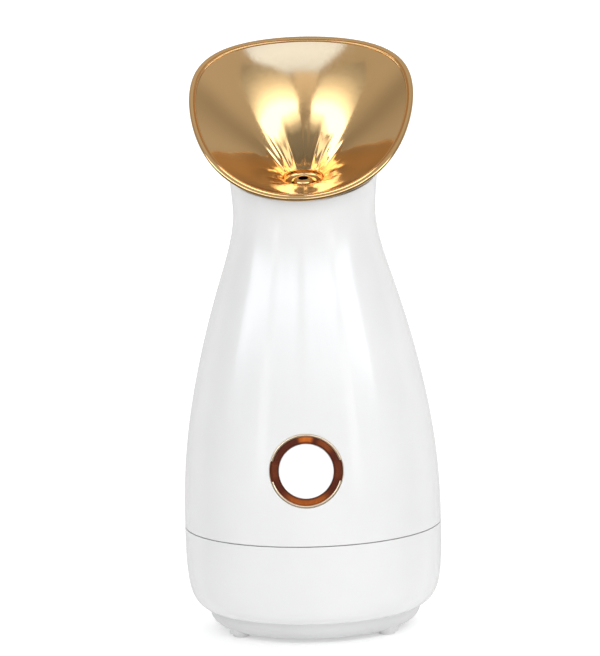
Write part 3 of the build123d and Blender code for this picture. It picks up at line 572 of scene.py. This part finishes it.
def cup_back(angle):
    """The cup's back wall, from inside the rim's edge down to the well."""
    rings = [egg_point(LIP_RING, angle, -LIP_BACKING, LIP_THICK)]
    rings += [egg_point(ring, angle, UNDER_GROW, CUP_WALL) for ring in reversed(CUP_RINGS[1:])]
    rings.append(head_ring(WELL_OUTER_R, WELL_TOP - CUP_WALL, angle))
    return curve_through(rings, UNDER_ROWS)[1:]


def funnel_cup():
    """The polished cup: fluted bowl, well, rim with its groove, closed underneath."""
    angle = turns()
    mouth = egg_point(LIP_RING, angle, *MOUTH_SHIFT)
    rings = [egg_point(ring, angle) for ring in CUP_RINGS] + [mouth]
    wall = fluted(curve_through(rings, WALL_ROWS), angle)
    well = [head_ring(radius, height, angle) for radius, height in WELL_SECTION]
    rim = [egg_point(LIP_RING, angle, -inward, depth) for inward, depth in RIM_SECTION]
    stem = [head_ring(radius, height, angle) for radius, height in STEM_SECTION]
    grid = np.array([*well, *wall, *rim, *cup_back(angle), *stem])
    piece = solid_from_grid("funnel_cup_skin", from_head(grid))
    finish_piece(piece, "funnel", "gold_plating", ["funnel_cup"], edge_angle=40)


# ---------------------------------------------------------------- the housing
BELL_CURVE = curve_through(BELL, BELL_STEPS)


def bell_radius(height):
    """The radius of the bell's skin at a height."""
    return np.interp(height, BELL_CURVE[:, 1], BELL_CURVE[:, 0]) - SKIN_INSET


def neck_height(radius, angle):
    """The height of the neck's slanted cut at a point round the axis."""
    return HEAD_Z + radius * np.sin(angle) * tan(radians(HEAD_LEAN))


def bell_rows(top):
    """The bell's section as (radius, height) rows, up its outside to top and down its inside."""
    rows = []
    for share in np.linspace(0, 1, SKIN_ROWS):
        height = SEAM_Z + BELL_FOOT + (top - BELL_EDGE - SEAM_Z - BELL_FOOT) * share
        rows.append((bell_radius(height), height))
    for turn in np.radians(EDGE_TURNS):
        inward = BELL_EDGE * (1 - cos(turn))
        rows.append((bell_radius(top - BELL_EDGE) - inward, top - BELL_EDGE * (1 - sin(turn))))
    rows.append((bell_radius(top) - WALL, top - INNER_EDGE))
    for share in np.linspace(INNER_START, 1, INNER_ROWS):
        height = top + (SEAM_Z - top) * share
        rows.append((bell_radius(height) - WALL, height))
    for turn in np.radians(FOOT_TURNS):
        rows.append((bell_radius(SEAM_Z) - BELL_FOOT * (1 - sin(turn)), SEAM_Z + BELL_FOOT * (1 - cos(turn))))
    return rows


def upper_housing():
    """The bell: outer skin from the seam to the slanted neck, its rounded edges and its inside."""
    angle = turns()
    rows = bell_rows(neck_height(bell_radius(HEAD_Z), angle))
    radius = np.array([np.broadcast_to(r, angle.shape) for r, h in rows])
    height = np.array([np.broadcast_to(h, angle.shape) for r, h in rows])
    grid = np.stack([radius * np.cos(angle), radius * np.sin(angle), height], axis=-1)
    piece = solid_from_grid("upper_housing_skin", grid)
    cut(piece, button_hole_tool(), bay_tool())
    finish_piece(piece, "root", "white_shell", ["upper_housing"], edge_angle=30)


def button_hole_tool():
    """The round hole through the bell's front for the button and its rings."""
    angle = turns(HOLE_COLUMNS)
    rows = []
    for out in HOLE_REACH:
        rows.append([button_point(BUTTON_HOLE_R * cos(a), BUTTON_HOLE_R * sin(a), out) for a in angle])
    return solid_from_grid("hole_tool", np.array(rows), ends_closed=True)


def bay_tool():
    """The tank's bay behind the bell, with rounded corners."""
    corners = [(-BAY_HALF, BAY_LOW_Z), (BAY_HALF, BAY_LOW_Z), (BAY_HALF, BAY_TOP_Z), (-BAY_HALF, BAY_TOP_Z)]
    outline = rounded_outline(corners, BAY_CORNER_R, BAY_CORNER_STEPS)
    rows = [[(x, y, z) for x, z in outline] for y in (BAY_FRONT_Y, BAY_REACH_Y)]
    return solid_from_grid("bay_tool", np.array(rows), ends_closed=True)


# ---------------------------------------------------------------- the button
def on_bell(across, high, proud):
    """How far out along the button's axis the bell's skin, grown by proud, is at a point of its face."""
    out = 0.0
    for _ in range(FIT_ROUNDS):
        x, y, z = button_point(across, high, out)
        out += bell_radius(z) + proud - hypot(x, y)
    return out


def button_rows(section, count, in_ears=0.0):
    """Rows about the button's axis from (radius, height, from_skin, ear_radius): the height is from the
    bell's skin or from the button's plane, and a row with an ear radius steps out to it at both sides."""
    angle = turns(count)
    rows = []
    for radius, height, from_skin, ear_radius in section:
        row = []
        for a in angle:
            reach = radius
            if ear_radius and abs(ear_radius * sin(a)) < EAR_HALF_WIDTH + in_ears:
                reach = ear_radius
            across, high = reach * cos(a), reach * sin(a)
            out = on_bell(across, high, height) if from_skin else height
            row.append(button_point(across, high, out))
        rows.append(row)
    return np.array(rows)


def button_cap():
    """The white push cap: a face that follows the bell, a soft edge, its retaining flange and its stem."""
    face = [(radius, CAP_PROUD, True, 0) for radius in CAP_FACE]
    edge = [(CAP_R - CAP_EDGE * (1 - sin(t)), CAP_PROUD - CAP_EDGE * (1 - cos(t)), True, 0)
            for t in np.linspace(CAP_EDGE_START, pi / 2, CAP_EDGE_STEPS)]
    below = [(CAP_R, CAP_FLANGE[0], False, 0), (CAP_FLANGE_R, CAP_FLANGE[0], False, 0),
             (CAP_FLANGE_R, CAP_FLANGE[1], False, 0), (CAP_STEM_R, CAP_FLANGE[1], False, 0),
             (CAP_STEM_R, CAP_STEM_LOW, False, 0)]
    rows = button_rows(face + edge + below, CAP_COLUMNS)
    piece = solid_from_grid("button_cap_skin", rows, ends_closed=True)
    # The cap takes the lighter copy of the white shell: painted light.
    finish_piece(piece, "button", "white_shell", ["button_cap"], edge_angle=35, material="button_lit_white")


def indicator_ring():
    """The amber ring round the cap, with an ear at each side."""
    section = [(RING_BORE_R, BUTTON_LOW, False, 0)]
    section += [(RING_BORE_R + inset, height, True, 0) for inset, height in RING_FACE]
    section += [(RING_R - inset, height, True, EAR_R - inset) for inset, height in RING_EDGE]
    section += [(RING_R, EAR_LOW, False, EAR_R), (RING_R, EAR_LOW, False, 0), (RING_R, BUTTON_LOW, False, 0)]
    piece = solid_from_grid("indicator_ring_skin", button_rows(section, RING_COLUMNS))
    finish_piece(piece, "root", "amber_lens", ["indicator_ring"], edge_angle=35)


def trim_ring():
    """The plated bead round the amber ring."""
    ear_bore = EAR_R + TRIM_SLACK
    trim_step = EAR_LOW - TRIM_SLACK
    section = [(TRIM_BORE_R, BUTTON_LOW, False, 0), (TRIM_BORE_R, trim_step, False, 0),
               (TRIM_BORE_R, trim_step, False, ear_bore)]
    for share, height in TRIM_CROWN:
        bore_side = TRIM_BORE_R + (TRIM_R - TRIM_BORE_R) * share
        ear_side = ear_bore + (TRIM_R - ear_bore) * share
        section.append((bore_side, height, True, ear_side if share < 1 else 0))
    section.append((TRIM_R, BUTTON_LOW, False, 0))
    piece = solid_from_grid("trim_ring_skin", button_rows(section, RING_COLUMNS, in_ears=TRIM_SLACK))
    finish_piece(piece, "root", "rose_gold", ["button_trim_ring"], edge_angle=50)


# ---------------------------------------------------------------- the other pieces
# The base cover takes a greyer copy of the white shell: painted shade for the base, low down and out of the
# light.
PAINTED_SHADE_MATERIAL = {"base_cover": "base_shaded_white"}


def dress_nodes():
    """Every node that still shows takes the material of its slot in the record; the base cover takes the
    greyer copy of the white shell instead, as painted shade.
    """
    for subpart in frame["record"]["subparts"]:
        piece = frame["nodes"][subpart["node"]]
        piece.data.materials.clear()
        piece.data.materials.append(MATERIALS[PAINTED_SHADE_MATERIAL.get(subpart["node"], subpart["material_slot"])])


# ---------------------------------------------------------------- floor, light and camera
# Panels and lamps stand round this point, azimuth 0 in front and 90 to the right, in degrees. A
# panel's outline is (sideways, up) and its rise and fade are (up, glow), in multiples of its distance.
LIT_POINT = Vector((0, 0, 0.2))
LAMP_DISTANCE = 3.2
# The two broad panels at either side of a gap in front, and their tint.
PANEL_MIDDLE = -4.5
PANEL_TURN = 12.5
SIDE_PANEL = [(-0.01, -0.05), (-0.035, 0.12), (-0.12, 0.36), (-0.15, 0.55), (-0.12, 0.72), (-0.03, 0.86),
              (0.14, 1.03), (2.2, 1.06), (2.2, -0.05)]
SIDE_RISE = [(-0.05, 0.22), (0.2, 0.28), (0.29, 0.65), (0.4, 1.8), (0.5, 3.6)]
SIDE_FADE = [(0.54, 1.0), (0.66, 0.5), (0.75, 0.27), (0.83, 0.15), (0.95, 0.09)]
SIDE_SLANT = 0.48
SIDE_COLOUR = (0.95, 1.03, 1.1)
# The dimmer panel in the gap, and the bluish one above it.
GAP_PANEL = [(-0.07, 0.4), (0.07, 0.4), (0.07, 0.74), (-0.07, 0.74)]
GAP_RISE = [(0.4, 0.42), (0.74, 0.86)]
TOP_MIDDLE = -2.0
TOP_PANEL = [(-0.1, 0.74), (0.06, 0.74), (0.15, 0.86), (0.22, 1.0), (0.2, 1.3), (-0.18, 1.3), (-0.19, 1.0),
             (-0.15, 0.86)]
TOP_RISE = [(0.74, 1.0), (0.8, 1.25), (0.92, 1.35), (1.3, 0.85)]
TOP_COLOUR = (0.84, 1.17, 2.0)
# The narrow, low panels further out.
EDGE_TURN = 44
EDGE_PANEL = [(-0.08, -0.12), (0.08, -0.12), (0.08, 0.42), (-0.08, 0.42)]
EDGE_RISE = [(-0.12, 0.5), (0.06, 1.7), (0.24, 1.7), (0.42, 0.4)]
FLOOR_REACH = 6.0
FLOOR_GLOW = 0.25
FLOOR_ROUGH = 0.9
FLOOR_GRAIN = 40.0
FLOOR_TONES = ((0.93, 0.93, 0.93), (0.95, 0.95, 0.95))
# The world's glow, and the parts of a direction (up, sideways, backward) between which it changes.
WORLD_LOW = 0.42
WORLD_HIGH = 0.54
WORLD_RISE = (0.35, 0.8)
WORLD_FLOOR = 0.5               # share of it that is left below the horizon
WORLD_HORIZON = (-0.1, 0.3)
WORLD_PANEL = 0.3               # share of it that the dark sides take
WORLD_SIDE = (0.45, 0.65)
WORLD_DEPTH = (0.0, 0.55)
BACKDROP_GLOW = 0.5
BACKDROP_DEPTH = (0.2, 0.6)
BACKDROP_TOP = (0.08, 0.22)
# Soft lamps: azimuth, elevation, width and height in degrees, brightness.
FILLS = {"front_fill": (6, 22, 80, 50, 1.06), "right_fill": (84, 30, 60, 50, 0.66),
         "left_fill": (-80, 30, 60, 50, 0.38), "back_fill": (180, 35, 80, 40, 1.5)}
# The camera: lens and sensor in millimetres, places in metres, turns in degrees.
LENS_MM = 342.7
SENSOR_MM = 36.0
LENS_SHIFT = (-0.0117, 0.0093)
CLIP = (0.1, 60.0)
EYE_AZIMUTH = 2.5
EYE_DISTANCE = 2.5
EYE_HEIGHT = 0.5402
EYE_ROLL = -1.66
AIM_HEIGHT = 0.120


def softbox(name, azimuth, elevation, width, height, brightness):
    """A soft lamp for the matt surfaces, facing LIT_POINT, its place and size in degrees. Glossy
    surfaces don't mirror it."""
    turn, rise = radians(azimuth), radians(elevation)
    data = bpy.data.lights.new(name, "AREA")
    data.shape = "RECTANGLE"
    data.size = 2 * LAMP_DISTANCE * tan(radians(width / 2))
    data.size_y = 2 * LAMP_DISTANCE * tan(radians(height / 2))
    data.energy = brightness * pi * data.size * data.size_y
    light = bpy.data.objects.new(name, data)
    bpy.context.scene.collection.objects.link(light)
    away = Vector((sin(turn) * cos(rise), -cos(turn) * cos(rise), sin(rise)))
    light.location = LIT_POINT + away * LAMP_DISTANCE
    light.rotation_mode = "QUATERNION"
    light.rotation_quaternion = (-away).to_track_quat("-Z", "Y")
    light.visible_glossy = False


def glow_curve(material, height, glow):
    """The glow at a height, easing from each given (height, glow) pair to the next."""
    total = glow[0][1]
    for (low, first), (high, second) in zip(glow, glow[1:]):
        total = maths(material, "ADD", total, ramp(material, height, low, high, 0.0, second - first))
    return total


def panel_glow(material, aside, rise, fade, slant):
    """The glow at each point of a panel whose way sideways is aside."""
    place = material.node_tree.nodes.new("ShaderNodeTexCoord")
    split = material.node_tree.nodes.new("ShaderNodeSeparateXYZ")
    link(material, place.outputs["Object"], split.inputs["Vector"])
    up = maths(material, "MULTIPLY_ADD", split.outputs["Z"], 1 / LAMP_DISTANCE, -LIT_POINT.z / LAMP_DISTANCE)
    along = maths(material, "ADD", maths(material, "MULTIPLY", split.outputs["X"], aside.x / LAMP_DISTANCE),
                  maths(material, "MULTIPLY", split.outputs["Y"], aside.y / LAMP_DISTANCE))
    slanted = maths(material, "MULTIPLY_ADD", along, -slant, up)
    return maths(material, "MULTIPLY", glow_curve(material, up, rise), glow_curve(material, slanted, fade))


def panel(name, azimuth, outline, rise, fade=((0.0, 1.0),), slant=0.0, colour=(1, 1, 1)):
    """A glowing upright panel that only glossy surfaces mirror. Its glow follows rise by height, times
    fade by height less slant times the way sideways."""
    turn = radians(azimuth)
    ahead = Vector((sin(turn), -cos(turn), 0))
    aside = Vector((cos(turn), sin(turn), 0))
    corners = [LIT_POINT + (ahead + aside * u + Vector((0, 0, v))) * LAMP_DISTANCE for u, v in outline]
    mesh = bpy.data.meshes.new(name)
    mesh.from_pydata(corners, [], [tuple(range(len(corners)))])
    piece = bpy.data.objects.new(name, mesh)
    bpy.context.scene.collection.objects.link(piece)
    material, shader = new_material(name)
    glow = panel_glow(material, aside, rise, fade, slant)
    link(material, glow, shader.inputs["Emission Strength"])
    shader.inputs["Emission Color"].default_value = (*colour, 1)
    shader.inputs["Base Color"].default_value = (0, 0, 0, 1)
    mesh.materials.append(material)
    piece.visible_camera = False
    piece.visible_diffuse = False
    piece.visible_shadow = False


def floor():
    """White paper under the object; glossy surfaces don't mirror it."""
    near, far = -FLOOR_REACH, 3 * FLOOR_REACH
    mesh = bpy.data.meshes.new("floor")
    mesh.from_pydata([(near, near, 0), (-near, near, 0), (-near, far, 0), (near, far, 0)], [], [(0, 1, 2, 3)])
    piece = bpy.data.objects.new("floor", mesh)
    bpy.context.scene.collection.objects.link(piece)
    material, shader = new_material("floor_paper")
    paper = mixed(material, noise(material, FLOOR_GRAIN), *FLOOR_TONES)
    link(material, paper, shader.inputs["Base Color"])
    shader.inputs["Roughness"].default_value = FLOOR_ROUGH
    shader.inputs["Emission Color"].default_value = (1, 1, 1, 1)
    shader.inputs["Emission Strength"].default_value = FLOOR_GLOW
    mesh.materials.append(material)
    piece.visible_glossy = False


def world():
    """A pale studio: dimmer below the horizon and at both sides, with a bright backdrop low behind."""
    sky = bpy.data.worlds.new("studio")
    sky.use_nodes = True
    back = sky.node_tree.nodes["Background"]
    back.inputs["Color"].default_value = (1, 1, 1, 1)
    place = sky.node_tree.nodes.new("ShaderNodeTexCoord")
    split = sky.node_tree.nodes.new("ShaderNodeSeparateXYZ")
    link(sky, place.outputs["Generated"], split.inputs["Vector"])
    aside = maths(sky, "ABSOLUTE", split.outputs["X"])
    depth = maths(sky, "ABSOLUTE", split.outputs["Y"])
    level = ramp(sky, split.outputs["Z"], *WORLD_RISE, WORLD_LOW, WORLD_HIGH)
    dark_side = maths(sky, "MULTIPLY", ramp(sky, aside, *WORLD_SIDE, 0.0, WORLD_PANEL),
                      ramp(sky, depth, *WORLD_DEPTH, 1.0, 0.0))
    level = maths(sky, "MULTIPLY", level, ramp(sky, split.outputs["Z"], *WORLD_HORIZON, WORLD_FLOOR, 1.0))
    level = maths(sky, "MULTIPLY", level, maths(sky, "SUBTRACT", 1.0, dark_side))
    backdrop = maths(sky, "MULTIPLY", ramp(sky, split.outputs["Y"], *BACKDROP_DEPTH, 0.0, BACKDROP_GLOW),
                     ramp(sky, split.outputs["Z"], *BACKDROP_TOP, 1.0, 0.0))
    link(sky, maths(sky, "ADD", level, backdrop), back.inputs["Strength"])
    bpy.context.scene.world = sky


def camera():
    """A long lens in front, a little to the right and above, rolled slightly."""
    data = bpy.data.cameras.new("camera")
    data.lens = LENS_MM
    data.sensor_width = SENSOR_MM
    data.shift_x, data.shift_y = LENS_SHIFT
    data.clip_start, data.clip_end = CLIP
    eye = bpy.data.objects.new("camera", data)
    bpy.context.scene.collection.objects.link(eye)
    turn = radians(EYE_AZIMUTH)
    place = Vector((EYE_DISTANCE * sin(turn), -EYE_DISTANCE * cos(turn), EYE_HEIGHT))
    aim = Vector((0, 0, AIM_HEIGHT))
    eye.location = place
    eye.rotation_mode = "QUATERNION"
    level = (aim - place).to_track_quat("-Z", "Y")
    eye.rotation_quaternion = level @ Quaternion((0, 0, 1), radians(EYE_ROLL))
    bpy.context.scene.camera = eye


# ---------------------------------------------------------------- build
funnel_cup()
upper_housing()
button_cap()
indicator_ring()
trim_ring()
dress_nodes()

floor()
world()
for side in (1, -1):
    panel("side_panel", PANEL_MIDDLE + side * PANEL_TURN, [(side * u, v) for u, v in SIDE_PANEL],
          SIDE_RISE, SIDE_FADE, side * SIDE_SLANT, SIDE_COLOUR)
    panel("edge_panel", side * EDGE_TURN, EDGE_PANEL, EDGE_RISE)
panel("gap_panel", PANEL_MIDDLE, GAP_PANEL, GAP_RISE)
panel("top_panel", TOP_MIDDLE, TOP_PANEL, TOP_RISE, colour=TOP_COLOUR)
for name, place in FILLS.items():
    softbox(name, *place)
camera()
bpy.context.scene.view_settings.view_transform = "Standard"
